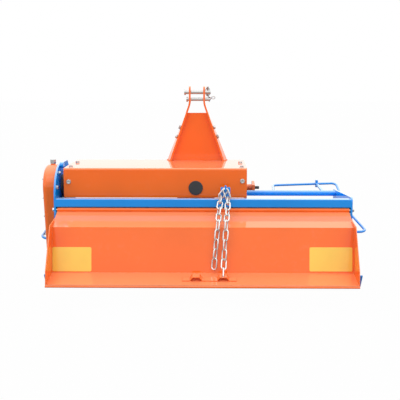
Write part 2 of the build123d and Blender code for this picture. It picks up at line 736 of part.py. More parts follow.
with BuildPart() as gate_strip:
    with BuildSketch(strip_plane) as section:
        with Locations(((STRIP_LEFT + STRIP_RIGHT) / 2, STRIP / 2)):
            Rectangle(STRIP_RIGHT - STRIP_LEFT, STRIP)
        for middle in HUMPS:
            with BuildLine():
                Polyline(
                    (middle - HUMP_FOOT - STRIP, 0),
                    (middle - HUMP_TOP - 2, HUMP_HIGH),
                    (middle + HUMP_TOP + 2, HUMP_HIGH),
                    (middle + HUMP_FOOT + STRIP, 0),
                    close=True,
                )
            make_face()
            with BuildLine():
                Polyline(
                    (middle - HUMP_FOOT, 0),
                    (middle - HUMP_TOP, HUMP_HIGH - STRIP),
                    (middle + HUMP_TOP, HUMP_HIGH - STRIP),
                    (middle + HUMP_FOOT, 0),
                    close=True,
                )
            make_face(mode=Mode.SUBTRACT)
    extrude(amount=STRIP_WIDE)
    with BuildSketch(strip_plane):
        with Locations((HUMP_X, HUMP_HIGH)):
            Rectangle(2 * WIRE_R + 5, 2 * STRIP + 4)
    extrude(amount=STRIP_WIDE * 0.8, mode=Mode.SUBTRACT)
    with BuildSketch(Plane.YZ.offset(HUMP_X - KEEPER_HALF)):
        with Locations((KEEPER.Y, KEEPER.Z)):
            Circle(KEEPER_R)
    extrude(amount=2 * KEEPER_HALF)
save(gate_strip, "gate_chain_strip")

# ---------------------------------------------------------------- chain bracket and chain
HOOK_R = 4.0
HOOK_Y = -238.0
HOOK_Z = 452.0
BRACKET_Y = -206.0
with BuildPart() as chain_bracket:
    with BuildSketch(Plane.XZ.offset(-BRACKET_Y)):
        with Locations((CHAIN_X, BEAM_Z + BEAM + 26)):
            RectangleRounded(43, 52, 4)
    extrude(amount=-6)
    with BuildLine() as path:
        FilletPolyline((CHAIN_X, BRACKET_Y, HOOK_Z), (CHAIN_X, HOOK_Y, HOOK_Z), (CHAIN_X, HOOK_Y, HOOK_Z + 24), radius=8)
    with BuildSketch(Plane(origin=path.line @ 0, z_dir=path.line % 0)):
        Circle(HOOK_R)
    sweep()
save(chain_bracket, "chain_bracket")

LINK_LONG = LINK_INNER + 4 * WIRE_R     # outer length of a link
LINK_CUT = 7.0                          # slanted corners of a link
LINK_EDGE = 1.7                         # slanted edges, so that the bar is eight-sided
with BuildPart(mode=Mode.PRIVATE) as link:
    with BuildSketch(Plane.XZ):
        with BuildSketch(mode=Mode.PRIVATE) as eye:
            Rectangle(LINK_OUT, LINK_LONG)
            chamfer(eye.vertices(), LINK_CUT)
        add(eye.sketch)
        offset(eye.sketch, -2 * WIRE_R, kind=Kind.INTERSECTION, mode=Mode.SUBTRACT)
    extrude(amount=WIRE_R, both=True)
    chamfer([edge for edge in link.edges() if abs(abs(edge.center().Y) - WIRE_R) < 0.1], LINK_EDGE)

END_WIRE = LINK_INNER / 2 + WIRE_R      # from a link's middle to the middle of its end bar


def place(a, b, twist):
    """Place of one link whose end bars are centred on two points."""
    along = (b - a).normalized()
    across = (Vector(1, 0, 0) - along * along.X).normalized()
    return Plane(origin=(a + b) / 2, x_dir=across, z_dir=along).location * Rot(0, 0, twist)


def point_along(route, travel):
    """Point that lies a given travel along a route of straight runs, or past its end."""
    for a, b in zip(route, route[1:]):
        if travel <= (b - a).length or b is route[-1]:
            return a + (b - a).normalized() * travel
        travel -= (b - a).length


def hang(bar, along, route, slack, twists):
    """Places of links along a route, each resting in the end bar of the one before, one for each twist."""
    spots = []
    for index, twist in enumerate(twists):
        aim = point_along(route, (index + 1) * (LINK_INNER - slack) + WIRE_R)
        turn = (aim - bar).normalized()
        start = bar - (along + turn).normalized() * (2 * WIRE_R + slack)
        bar = start + turn * 2 * END_WIRE
        along = turn
        spots.append(place(start, bar, twist))
    return spots


LEFT_KNEE = Vector(66, KNEE1[0] - 18, KNEE1[1] + 24)
FREE_END = Vector(48, KNEE2[0] - 11, KNEE2[1] + 15)
RIGHT_KNEE = Vector(101, KNEE1[0] - 24, KNEE1[1] + 29)
ABOVE_HUMP = Vector(90, KNEE2[0] - 20, KNEE2[1] + 51)
HELD_END = Vector(HUMP_X, KEEPER.Y - 4.3, KEEPER.Z - 4.6)
# The two strands: Y of the first link on the hook, its lean in degrees, slack between links, route past it, twist of
# each link that follows
STRANDS = (
    (-217.0, -38.0, 1.1, (LEFT_KNEE, FREE_END), (70, -20, 50, -35, 45, -45, 45, -45, 45)),
    (-226.0, 20.0, 1.1, (RIGHT_KNEE, ABOVE_HUMP, HELD_END), (-70, 20, -50, 35, -45, 45, -45, 50, -20, 90)),
)
with BuildPart() as lift_chain:
    for place_y, lean, slack, route, twists in STRANDS:
        down = Vector(0, 0, -1).rotate(Axis.Y, -lean)
        upper = Vector(CHAIN_X, place_y, HOOK_Z) - down * (HOOK_R + WIRE_R + RUN_GAP)
        lower = upper + down * 2 * END_WIRE
        add(place(upper, lower, 0) * link.part)
        for spot in hang(lower, down, [lower - down * WIRE_R, *route], slack, twists):
            add(spot * link.part)
save(lift_chain, "lift_chain")
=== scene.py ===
"""Looks for a tractor rotavator: paint, plating, fasteners, welds, hood and lifting chain.

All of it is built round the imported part. Metres, X to the machine's right seen from behind, Y forward,
Z up. The ground is Z = 0, under the rotor's axis.
"""

import json
import logging
import math
from collections.abc import Callable, Iterable
from dataclasses import dataclass, field
from enum import Enum

import bpy
from mathutils import Matrix, Vector

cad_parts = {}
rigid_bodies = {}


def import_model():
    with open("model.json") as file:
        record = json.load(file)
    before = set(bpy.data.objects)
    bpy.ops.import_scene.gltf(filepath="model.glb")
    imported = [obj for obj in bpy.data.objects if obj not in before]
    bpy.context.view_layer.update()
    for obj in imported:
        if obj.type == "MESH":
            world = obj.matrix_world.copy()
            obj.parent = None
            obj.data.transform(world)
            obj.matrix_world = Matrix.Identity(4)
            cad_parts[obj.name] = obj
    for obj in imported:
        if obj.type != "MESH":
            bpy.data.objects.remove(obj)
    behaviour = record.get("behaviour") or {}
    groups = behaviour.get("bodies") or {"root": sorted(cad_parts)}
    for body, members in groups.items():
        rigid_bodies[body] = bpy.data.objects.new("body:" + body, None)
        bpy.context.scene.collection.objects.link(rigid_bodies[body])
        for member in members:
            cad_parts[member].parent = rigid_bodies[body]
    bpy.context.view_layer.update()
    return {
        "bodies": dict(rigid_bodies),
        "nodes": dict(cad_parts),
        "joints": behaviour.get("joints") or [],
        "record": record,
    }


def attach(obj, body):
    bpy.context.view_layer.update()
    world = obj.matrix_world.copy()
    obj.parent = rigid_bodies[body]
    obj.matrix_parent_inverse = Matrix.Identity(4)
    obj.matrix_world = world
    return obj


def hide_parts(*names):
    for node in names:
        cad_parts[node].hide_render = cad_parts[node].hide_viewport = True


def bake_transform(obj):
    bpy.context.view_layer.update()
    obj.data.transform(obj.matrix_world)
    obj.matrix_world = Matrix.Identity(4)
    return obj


LOG = logging.getLogger("rotavator")

# ---------------------------------------------------------------- driving dimensions, as in the part's source
INNER_HALF = 0.649
PLATE = 0.008
OUTER_HALF = INNER_HALF + PLATE
ROTOR_Z = 0.180
CENTRE_X = -0.033
DRIVE_Y = -0.035
DRIVE_Z = 0.447
HINGE_Y = -0.204
HINGE_Z = 0.362
KNEE1 = Vector((0.0, -0.350, 0.311))
KNEE2 = Vector((0.0, -0.378, 0.121))
LIP = Vector((0.0, -0.509, 0.098))
CHAIN_X = 0.099
WIRE_R = 0.003
LINK_INNER = 0.042
LINK_OUT = 0.024
HOOK_R = 0.004
HOOK_Z = 0.452


class Slot(Enum):
    """The record's material slots."""

    ORANGE = "orange_paint"
    BLUE = "blue_paint"
    STEEL = "zinc_steel"
    BLACK = "black_paint"
    PLASTIC = "black_plastic"
    CASTING = "gearbox_paint"


class Body(Enum):
    """The part's bodies."""

    FRAME = "frame"
    ROTOR = "rotor"
    INPUT = "pto"
    GATE = "gate"


# ---------------------------------------------------------------- shader maths
class Signal:
    """A number that varies over a surface, written in sums and products."""

    def __init__(self, tree: "Tree", socket: bpy.types.NodeSocket) -> None:
        """Wrap one output socket of a node tree."""
        self.tree = tree
        self.socket = socket

    def _math(self, operation: str, first: object, second: object, clamp: bool = False) -> "Signal":
        """Add a Math node.

        Args:
            operation: name of the Math node's operation.
            first: value or signal of the first socket.
            second: value or signal of the second socket.
            clamp: whether the result stays from 0 to 1.

        Returns:
            The node's result.
        """
        settings = {"operation": operation, "use_clamp": clamp}
        return self.tree.node("ShaderNodeMath", settings, {0: first, 1: second})

    def __add__(self, other: object) -> "Signal":
        """Sum."""
        return self._math("ADD", self, other)

    __radd__ = __add__

    def __mul__(self, other: object) -> "Signal":
        """Product."""
        return self._math("MULTIPLY", self, other)

    __rmul__ = __mul__

    def __sub__(self, other: object) -> "Signal":
        """Difference."""
        return self._math("SUBTRACT", self, other)

    def __rsub__(self, other: object) -> "Signal":
        """Difference from a number."""
        return self._math("SUBTRACT", other, self)

    def __pow__(self, other: object) -> "Signal":
        """Power."""
        return self._math("POWER", self, other)

    def at_least(self, other: object) -> "Signal":
        """The larger of this and another value."""
        return self._math("MAXIMUM", self, other)

    def above(self, start: float, width: float) -> "Signal":
        """0 below start, 1 above start + width, and a straight slope between."""
        return self._math("MULTIPLY", self - start, 1 / width, clamp=True)


class Tree:
    """A material's nodes, added one call each."""

    def __init__(self, name: str) -> None:
        """Start a material with its surface shader."""
        self.material = bpy.data.materials.new(name)
        self.material.use_nodes = True
        self.nodes = self.material.node_tree.nodes
        self.links = self.material.node_tree.links
        self.shader = self.nodes["Principled BSDF"]
        self.place = self.node("ShaderNodeTexCoord", {}, {}, "Object")

    @classmethod
    def of(cls, node_tree: bpy.types.NodeTree) -> "Tree":
        """Work on a node tree that is already there."""
        tree = cls.__new__(cls)
        tree.nodes, tree.links = node_tree.nodes, node_tree.links
        return tree

    def node(self, kind: str, settings: dict, sockets: dict, output: object = 0) -> Signal:
        """Add a node.

        Args:
            kind: the node's type.
            settings: properties set before its sockets.
            sockets: value or signal of each input, by name or number.
            output: name or number of the output to return.

        Returns:
            The chosen output.
        """
        made = self.nodes.new(kind)
        for name, value in settings.items():
            setattr(made, name, value)
        for name, value in sockets.items():
            self.feed(made.inputs[name], value)
        return Signal(self, made.outputs[output])

    def feed(self, socket: bpy.types.NodeSocket, value: object) -> None:
        """Link a signal to an input, or set the input's value."""
        if isinstance(value, Signal):
            self.links.new(value.socket, socket)
        else:
            socket.default_value = value

    def noise(self, scale: float, detail: float = 2.0, stretch: tuple = (1, 1, 1)) -> Signal:
        """Cloudy noise on the piece's own coordinates, from 0 to 1."""
        place = self.node("ShaderNodeMapping", {}, {"Vector": self.place, "Scale": stretch})
        return self.node("ShaderNodeTexNoise", {}, {"Vector": place, "Scale": scale, "Detail": detail})

    def upward(self) -> Signal:
        """How far a face looks up, from -1 to 1."""
        facing = self.node("ShaderNodeTexCoord", {}, {}, "Normal")
        return self.node("ShaderNodeSeparateXYZ", {}, {0: facing}, "Z")

    def cells(self, scale: float, output: str = "Color") -> Signal:
        """A pattern of cells on the piece's own coordinates."""
        return self.node("ShaderNodeTexVoronoi", {}, {"Vector": self.place, "Scale": scale}, output)

    def mix(self, mask: object, low: object, high: object) -> Signal:
        """A colour from low, where the mask is 0, to high, where it is 1."""
        return self.node(
            "ShaderNodeMix", {"data_type": "RGBA"}, {0: mask, 6: low, 7: high}, 2
        )

    def edges(self, radius: float) -> tuple[Signal, Signal]:
        """Soften sharp edges.

        Args:
            radius: radius of the rounding.

        Returns:
            The rounded normal, and a mask that is 1 on edges.
        """
        rounded = self.node("ShaderNodeBevel", {"samples": 4}, {"Radius": radius})
        flat = self.node("ShaderNodeNewGeometry", {}, {}, "Normal")
        product = {"operation": "DOT_PRODUCT"}
        along = self.node("ShaderNodeVectorMath", product, {0: rounded, 1: flat}, "Value")
        return rounded, (1 - along).above(0.01, 0.16)

    def bump(self, height: Signal, depth: float, strength: float, normal: Signal | None = None) -> Signal:
        """A normal roughened by a height."""
        sockets = {"Height": height, "Distance": depth, "Strength": strength}
        if normal is not None:
            sockets["Normal"] = normal
        return self.node("ShaderNodeBump", {}, sockets)

    def surface(self, sockets: dict) -> bpy.types.Material:
        """Set the surface shader's sockets and return the material."""
        for name, value in sockets.items():
            self.feed(self.shader.inputs[name], value)
        return self.material


Colour = tuple[float, float, float, float]


def shade(colour: Colour, factor: float) -> Colour:
    """A lighter or darker colour."""
    return (*(min(1.0, part * factor) for part in colour[:3]), 1.0)


# ---------------------------------------------------------------- finishes
@dataclass(frozen=True)
class PowderCoat:
    """Glossy powder coat with a faint orange peel; sharp edges take a rim colour, thin paint on most coats
    and a painted edge shadow on the chain strip; faces that look up get a painted top sheen mixed with
    settled dust.
    """

    name: str
    colour: Colour
    rim: Colour
    dust: Colour = (0.55, 0.52, 0.48, 1.0)
    # Pale colour that faces looking up blend towards: a painted top sheen mixed with settled dust.
    top_sheen_and_dust: Colour = (0.78, 0.86, 0.66, 1.0)
    gloss: float = 0.16
    wave: float = 0.002
    top_sheen_and_dust_amount: float = 0.13
    edge_size: float = 0.0016

    def build(self) -> bpy.types.Material:
        """Make the material."""
        tree = Tree(self.name)
        rounded, edge = tree.edges(self.edge_size)
        cloud = tree.noise(3.2, 3.0)
        fine = tree.noise(46.0, 4.0)
        body = tree.mix(cloud.above(0.3, 0.4), shade(self.colour, 0.93), shade(self.colour, 1.05))
        # Sharp edges take the rim colour: thin paint on most coats, a painted edge shadow on the chain strip.
        body = tree.mix(edge * 0.45, body, self.rim)
        dusty = fine.above(0.52, 0.3) * cloud.above(0.45, 0.3) * 0.05
        body = tree.mix(dusty, body, self.dust)
        # Faces that look up are lightened: painted top sheen, partly settled dust.
        body = tree.mix(tree.upward().above(0.35, 0.5) * self.top_sheen_and_dust_amount, body, self.top_sheen_and_dust)
        peel = tree.noise(420.0, 1.0) + tree.noise(150.0, 1.0) * 0.6
        dents = tree.bump(tree.noise(5.0, 1.0), self.wave, 1.0, rounded)
        return tree.surface(
            {
                "Base Color": body,
                "Roughness": fine * 0.08 + dusty * 0.8 + self.gloss,
                "Normal": tree.bump(peel, 0.0003, 0.10, dents),
                "Specular IOR Level": 0.0,
                "Coat Weight": 1.0,
                "Coat Roughness": 0.04,
                "Coat IOR": 1.5,
            }
        )


@dataclass(frozen=True)
class ZincPlate:
    """Bright zinc plating with faint crystals and a few duller patches."""

    name: str
    colour: Colour = (0.50, 0.50, 0.49, 1.0)

    def build(self) -> bpy.types.Material:
        """Make the material."""
        tree = Tree(self.name)
        rounded, edge = tree.edges(0.0007)
        crystal = tree.cells(260.0, "Distance")
        dull = tree.noise(30.0, 3.0).above(0.5, 0.3)
        body = tree.mix(crystal.above(0.1, 0.8) * 0.25, self.colour, shade(self.colour, 0.8))
        body = tree.mix(dull * 0.25, body, (0.34, 0.33, 0.31, 1.0))
        body = tree.mix(edge * 0.3, body, (0.80, 0.80, 0.79, 1.0))
        return tree.surface(
            {
                "Base Color": body,
                "Metallic": 1.0,
                "Roughness": dull * 0.14 + crystal * 0.06 + 0.20,
                "Normal": tree.bump(tree.noise(700.0, 2.0), 0.0001, 0.08, rounded),
            }
        )


@dataclass(frozen=True)
class SatinPaint:
    """Satin paint over cast or forged iron, with its grain."""

    name: str
    colour: Colour
    grain: float = 260.0
    depth: float = 0.0006
    roughness: float = 0.42

    def build(self) -> bpy.types.Material:
        """Make the material."""
        tree = Tree(self.name)
        rounded, edge = tree.edges(0.0014)
        cloud = tree.noise(9.0, 4.0)
        body = tree.mix(cloud.above(0.35, 0.3), shade(self.colour, 0.8), shade(self.colour, 1.25))
        body = tree.mix(edge * 0.5, body, shade(self.colour, 2.6))
        grain = tree.noise(self.grain, 5.0) + tree.cells(self.grain * 0.7, "Distance") * 0.5
        return tree.surface(
            {
                "Base Color": body,
                "Roughness": cloud * 0.16 + self.roughness,
                "Normal": tree.bump(grain, self.depth, 0.35, rounded),
            }
        )


@dataclass(frozen=True)
class MouldedPlastic:
    """Black moulded plastic with a fine spark texture."""

    name: str
    colour: Colour = (0.022, 0.022, 0.024, 1.0)

    def build(self) -> bpy.types.Material:
        """Make the material."""
        tree = Tree(self.name)
        rounded, edge = tree.edges(0.001)
        grain = tree.cells(900.0, "Distance") + tree.noise(500.0, 3.0)
        body = tree.mix(edge * 0.5, self.colour, shade(self.colour, 2.4))
        body = tree.mix(tree.noise(24.0, 3.0).above(0.5, 0.3) * 0.3, body, (0.06, 0.058, 0.055, 1.0))
        return tree.surface(
            {
                "Base Color": body,
                "Roughness": tree.noise(60.0, 2.0) * 0.14 + 0.36,
                "Normal": tree.bump(grain, 0.0002, 0.3, rounded),
            }
        )


@dataclass(frozen=True)
class PrintedFilm:
    """Blank glossy film of a bare plate, with slightly darker edges."""

    name: str
    colour: Colour

    def build(self) -> bpy.types.Material:
        """Make the material."""
        tree = Tree(self.name)
        rounded, edge = tree.edges(0.0006)
        cloud = tree.noise(14.0, 3.0)
        body = tree.mix(cloud.above(0.4, 0.3), self.colour, shade(self.colour, 0.95))
        # Edges blend to a darker copy of the film's own colour.
        body = tree.mix(edge * 0.6, body, shade(self.colour, 0.7))
        return tree.surface(
            {
                "Base Color": body,
                "Roughness": cloud * 0.08 + 0.2,
                "Normal": tree.bump(tree.noise(120.0, 1.0), 0.0002, 0.12, rounded),
                "Coat Weight": 0.4,
            }
        )


@dataclass(frozen=True)
class GreasedSteel:
    """Machined steel under a thin film of grease."""

    name: str
    colour: Colour = (0.40, 0.39, 0.37, 1.0)

    def build(self) -> bpy.types.Material:
        """Make the material."""
        tree = Tree(self.name)
        rounded, edge = tree.edges(0.0006)
        grease = tree.noise(38.0, 4.0).above(0.48, 0.2)
        turned = tree.noise(60.0, 2.0, (1, 14, 1))
        body = tree.mix(grease * 0.6, self.colour, (0.10, 0.085, 0.06, 1.0))
        body = tree.mix(edge * 0.5, body, (0.75, 0.74, 0.72, 1.0))
        return tree.surface(
            {
                "Base Color": body,
                "Metallic": 1 - grease * 0.5,
                "Roughness": turned * 0.14 + 0.22,
                "Normal": tree.bump(turned, 0.0002, 0.25, rounded),
            }
        )


class Palette:
    """The materials, each built once."""

    def __init__(self) -> None:
        """Build every finish."""
        orange = (0.88, 0.143, 0.008, 1.0)
        iron = (0.045, 0.046, 0.05, 1.0)
        # Dark rim for the chain strip: a painted shadow along its edges.
        strip_edge_shadow = (0.22, 0.03, 0.006, 1.0)
        blue = (0.002, 0.262, 0.80, 1.0)
        self.slots: dict[Slot, bpy.types.Material] = {
            Slot.ORANGE: PowderCoat("orange_powder_coat", orange, (0.95, 0.34, 0.09, 1.0)).build(),
            # The blue coat takes more of the painted top sheen and dust.
            Slot.BLUE: PowderCoat("blue_powder_coat", blue, (0.10, 0.36, 0.86, 1.0), top_sheen_and_dust_amount=0.3).build(),
            Slot.STEEL: ZincPlate("zinc_plate").build(),
            Slot.BLACK: SatinPaint("black_satin_paint", (0.022, 0.022, 0.024, 1.0)).build(),
            Slot.PLASTIC: MouldedPlastic("black_moulded_plastic").build(),
            Slot.CASTING: SatinPaint("painted_casting", iron, 150.0, 0.0011, 0.38).build(),
        }
        self.film = PrintedFilm("yellow_film", (0.86, 0.58, 0.07, 1.0)).build()
        self.machined = GreasedSteel("greased_steel").build()
        self.chain = ZincPlate("bright_chain_zinc", (0.68, 0.68, 0.67, 1.0)).build()
        # The hem is drawn in a darker copy of the orange: painted shade along the rolled edge.
        self.hem = PowderCoat("orange_hem_painted_shade", shade(orange, 0.6), shade(orange, 0.6)).build()
        self.strip = PowderCoat("orange_strip_edge_shadow", orange, strip_edge_shadow, edge_size=0.004).build()

    def dress_nodes(self, frame: dict) -> None:
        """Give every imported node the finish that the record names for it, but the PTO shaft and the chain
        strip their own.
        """
        named = {part["node"]: Slot(part["material_slot"]) for part in frame["record"]["subparts"]}
        own = {"pto_shaft": self.machined, "gate_chain_strip": self.strip}
        for name, node in frame["nodes"].items():
            finish = own.get(name, self.slots[named[name]])
            for holder in node.material_slots:
                holder.link = "OBJECT"
                holder.material = finish


# ---------------------------------------------------------------- modelling by hand
Test = Callable[[Vector, Vector], bool]


def deselect() -> None:
    """Leave nothing selected."""
    if bpy.context.object and bpy.context.object.mode != "OBJECT":
        bpy.ops.object.mode_set(mode="OBJECT")
    bpy.ops.object.select_all(action="DESELECT")


class Piece:
    """One mesh in the making, shaped with Blender's own operators."""

    def __init__(self, name: str) -> None:
        """Take the object that was just added."""
        self.obj = bpy.context.object
        self.obj.name = name
        self.obj.data.name = name
        self.mode("OBJECT")

    @classmethod
    def cylinder(cls, name: str, radius: float, depth: float, sides: int, base: float = 0.0) -> "Piece":
        """A cylinder up the Z axis from a base height."""
        deselect()
        bpy.ops.mesh.primitive_cylinder_add(
            vertices=sides, radius=radius, depth=depth, location=(0, 0, base + depth / 2)
        )
        bpy.ops.object.transform_apply(location=True)
        return cls(name)

    @classmethod
    def block(cls, name: str, low: Iterable[float], high: Iterable[float]) -> "Piece":
        """A block between two corners."""
        low, high = Vector(low), Vector(high)
        deselect()
        bpy.ops.mesh.primitive_cube_add(size=1, location=(low + high) / 2)
        bpy.context.object.scale = high - low
        bpy.ops.object.transform_apply(location=True, scale=True)
        return cls(name)

    @classmethod
    def wire(
        cls, name: str, points: Iterable[Iterable[float]], radius: float, closed: bool = False
    ) -> "Piece":
        """Round wire along a smooth path, turned into a mesh."""
        points = [Vector(point) for point in points]
        deselect()
        bpy.ops.curve.primitive_nurbs_path_add()
        curve = bpy.context.object.data
        curve.splines.clear()
        spline = curve.splines.new("NURBS")
        spline.points.add(len(points) - 1)
        for knot, point in zip(spline.points, points):
            knot.co = (*point, 1.0)
        spline.order_u = 3
        spline.use_endpoint_u = not closed
        spline.use_cyclic_u = closed
        spline.resolution_u = 5
        curve.dimensions = "3D"
        curve.bevel_depth = radius
        curve.bevel_resolution = 3
        curve.use_fill_caps = not closed
        bpy.ops.object.convert(target="MESH")
        piece = cls(name)
        return piece.smooth()

    def mode(self, mode: str) -> None:
        """Switch between object and edit mode."""
        bpy.context.view_layer.objects.active = self.obj
        self.obj.select_set(True)
        if self.obj.mode != mode:
            bpy.ops.object.mode_set(mode=mode)

    def pick(self, test: Test) -> "Piece":
        """Select, in edit mode, the faces that pass a test of their centre and normal."""
        self.mode("EDIT")
        bpy.context.tool_settings.mesh_select_mode = (False, False, True)
        bpy.ops.mesh.select_all(action="DESELECT")
        self.mode("OBJECT")
        for polygon in self.obj.data.polygons:
            polygon.select = test(polygon.center, polygon.normal)
        self.mode("EDIT")
        return self

    def pick_edges(self, test: Test) -> "Piece":
        """Select, in edit mode, the edges that pass a test of their middle and direction."""
        self.mode("EDIT")
        bpy.context.tool_settings.mesh_select_mode = (False, True, False)
        bpy.ops.mesh.select_all(action="DESELECT")
        self.mode("OBJECT")
        corners = self.obj.data.vertices
        for edge in self.obj.data.edges:
            start, end = (corners[index].co for index in edge.vertices)
            edge.select = test((start + end) / 2, (end - start).normalized())
        self.mode("EDIT")
        return self

    def bevel(self, width: float, segments: int = 1) -> "Piece":
        """Bevel the selected edges."""
        bpy.ops.mesh.bevel(offset=width, segments=segments, affect="EDGES")
        self.mode("OBJECT")
        return self

    def inset(self, inwards: float, up: float = 0.0) -> "Piece":
        """Inset the selected faces, raised or sunk."""
        bpy.ops.mesh.inset(thickness=inwards, depth=up)
        return self

    def extrude(self, by: Iterable[float], scale: float = 1.0) -> "Piece":
        """Extrude the selected faces and scale the new end."""
        bpy.ops.mesh.extrude_region_move(TRANSFORM_OT_translate={"value": Vector(by)})
        if scale != 1.0:
            bpy.ops.transform.resize(value=(scale, scale, scale))
        return self

    def soften(self, width: float, segments: int = 2, angle: float = 30.0) -> "Piece":
        """Round every edge sharper than an angle, with an applied modifier."""
        self.mode("OBJECT")
        modifier = self.obj.modifiers.new("soften", "BEVEL")
        modifier.width = width
        modifier.segments = segments
        modifier.angle_limit = math.radians(angle)
        bpy.ops.object.modifier_apply(modifier=modifier.name)
        return self.smooth()

    def smooth(self, angle: float = 35.0) -> "Piece":
        """Shade the rounded faces smooth."""
        self.mode("OBJECT")
        deselect()
        self.mode("OBJECT")
        bpy.ops.object.shade_smooth_by_angle(angle=math.radians(angle))
        return self

    def place(self, matrix: Matrix) -> "Piece":
        """Move the mesh itself, so that its object stays at the origin."""
        self.obj.data.transform(matrix)
        return self

    def copy(self, matrix: Matrix) -> "Piece":
        """A copy with its own mesh, moved from where this one is."""
        deselect()
        made = self.obj.copy()
        made.data = self.obj.data.copy()
        bpy.context.collection.objects.link(made)
        bpy.context.view_layer.objects.active = made
        return Piece(self.obj.name + "_copy").place(matrix)

    def remove(self) -> None:
        """Delete a pattern piece that has been copied."""
        bpy.data.objects.remove(self.obj)

    def finish(self, material: bpy.types.Material, body: Body, slot: Slot | None = None) -> "Piece":
        """Dress the piece and let it ride.

        Args:
            material: its finish.
            body: the body that carries it.
            slot: not used.

        Returns:
            The piece.
        """
        self.dress(material)
        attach(self.obj, body.value)
        LOG.info("%s: %d faces on %s", self.obj.name, len(self.obj.data.polygons), body.value)
        return self

    def dress(self, material: bpy.types.Material) -> "Piece":
        """Give the whole piece one material."""
        self.mode("OBJECT")
        self.obj.data.materials.clear()
        self.obj.data.materials.append(material)
        return self


def join(name: str, pieces: list[Piece]) -> Piece:
    """Join pieces into one mesh, each with the materials it has."""
    deselect()
    for piece in pieces:
        piece.obj.select_set(True)
    bpy.context.view_layer.objects.active = pieces[0].obj
    bpy.ops.object.join()
    return Piece(name)


def facing(spot: Vector, direction: Vector, turn: float = 0.0) -> Matrix:
    """The place of a thing modelled up the Z axis that should point along a direction."""
    swing = Vector((0, 0, 1)).rotation_difference(Vector(direction).normalized()).to_matrix().to_4x4()
    return Matrix.Translation(spot) @ swing @ Matrix.Rotation(turn, 4, "Z")


@dataclass
class Fasteners:
    """Hexagon bolts with washers, modelled once a size and copied."""

    material: bpy.types.Material
    patterns: dict[float, Piece] = field(default_factory=dict)

    def pattern(self, size: float) -> Piece:
        """A bolt head of a thread size, standing on Z = 0."""
        if size not in self.patterns:
            washer = Piece.cylinder("washer", size * 1.05, size * 0.16, 20)
            washer.pick_edges(lambda middle, along: middle.z > size * 0.15 and abs(along.z) < 0.1)
            washer.bevel(size * 0.05)
            head = Piece.cylinder("head", size * 0.92, size * 0.62, 6, size * 0.16)
            head.pick(lambda middle, normal: normal.z > 0.9).inset(size * 0.12, size * 0.05)
            head.inset(size * 0.1)
            bpy.ops.transform.translate(value=(0, 0, -size * 0.03))
            self.patterns[size] = join("bolt", [washer, head])
            self.patterns[size].smooth(25)
        return self.patterns[size]

    def fit(self, name: str, size: float, spots: Iterable[tuple[Vector, Vector]], body: Body) -> Piece:
        """Set bolts on a surface.

        Args:
            name: name of the joined piece.
            size: thread size.
            spots: a point on the surface and the way out of it, for each bolt.
            body: the body that carries them.

        Returns:
            The joined piece.
        """
        pattern = self.pattern(size)
        copies = [
            pattern.copy(facing(Vector(spot), Vector(out), index * 0.7))
            for index, (spot, out) in enumerate(spots)
        ]
        return join(name, copies).finish(self.material, body, Slot.STEEL)

    def clear(self) -> None:
        """Delete the patterns."""
        for pattern in self.patterns.values():
            pattern.remove()


@dataclass
class Welds:
    """Beaded fillet welds."""

    material: bpy.types.Material
    pitch: float = 0.0042

    def run(
        self, name: str, lines: Iterable[tuple[Vector, Vector]], width: float, body: Body, slot: Slot
    ) -> Piece:
        """Lay welds along straight lines.

        Args:
            name: name of the joined piece.
            lines: start and end of each weld.
            width: width of the bead.
            body: the body that carries it.
            slot: not used.

        Returns:
            The joined piece.
        """
        deselect()
        bpy.ops.mesh.primitive_uv_sphere_add(segments=8, ring_count=5, radius=width / 2)
        bead = Piece("bead")
        bead.pick(lambda middle, normal: True)
        bpy.ops.transform.resize(value=(1, 1, 0.7))
        bead.smooth(80)
        beads = []
        for start, end in lines:
            start, end = Vector(start), Vector(end)
            count = max(2, round((end - start).length / self.pitch))
            for index in range(count + 1):
                spot = start.lerp(end, index / count)
                beads.append(bead.copy(facing(spot, end - start, index * 1.3)))
        bead.remove()
        return join(name, beads).finish(self.material, body, slot)


